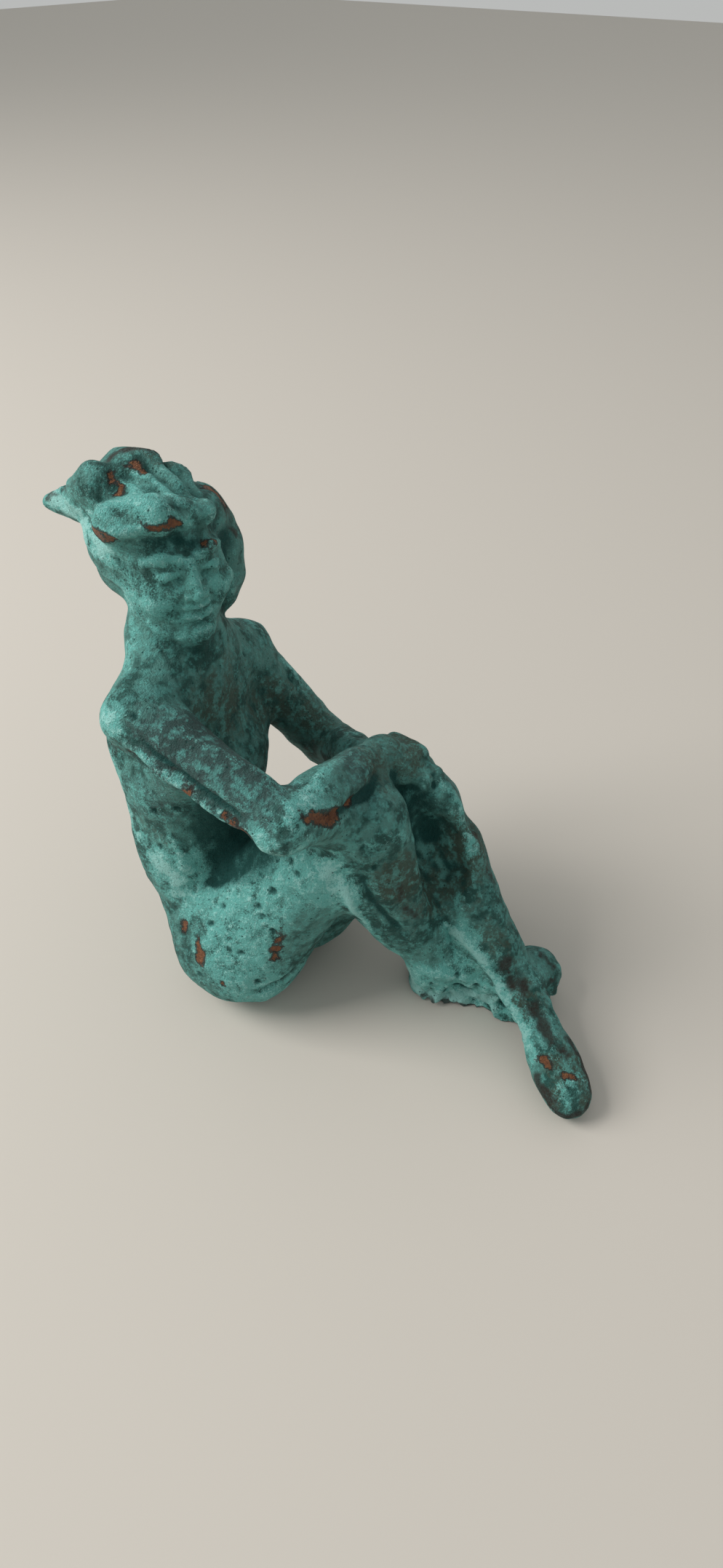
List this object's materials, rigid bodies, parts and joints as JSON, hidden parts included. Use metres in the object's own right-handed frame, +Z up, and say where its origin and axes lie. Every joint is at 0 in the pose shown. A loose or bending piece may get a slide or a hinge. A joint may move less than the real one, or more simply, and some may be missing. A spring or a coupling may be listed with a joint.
{
  "type": "seated figure sculpture",
  "caption": "Small patinated bronze of a woman sitting on the floor, knees drawn up, ankles crossed and arms folded over her knees; stands on a shelf or table.",
  "frame": {"origin": "on the floor, under the middle of the box that holds the figure", "axes": "+Z up, the figure faces -Y, her left side is towards +X"},
  "size_m": [0.0524, 0.1114, 0.0976],
  "materials": {
    "patinated_bronze": "rough cast bronze with matt blue-green verdigris, darker in the hollows, worn to copper brown in patches"
  },
  "bodies": {
    "root": {"seated_woman": "patinated_bronze"}
  },
  "joints": []
}
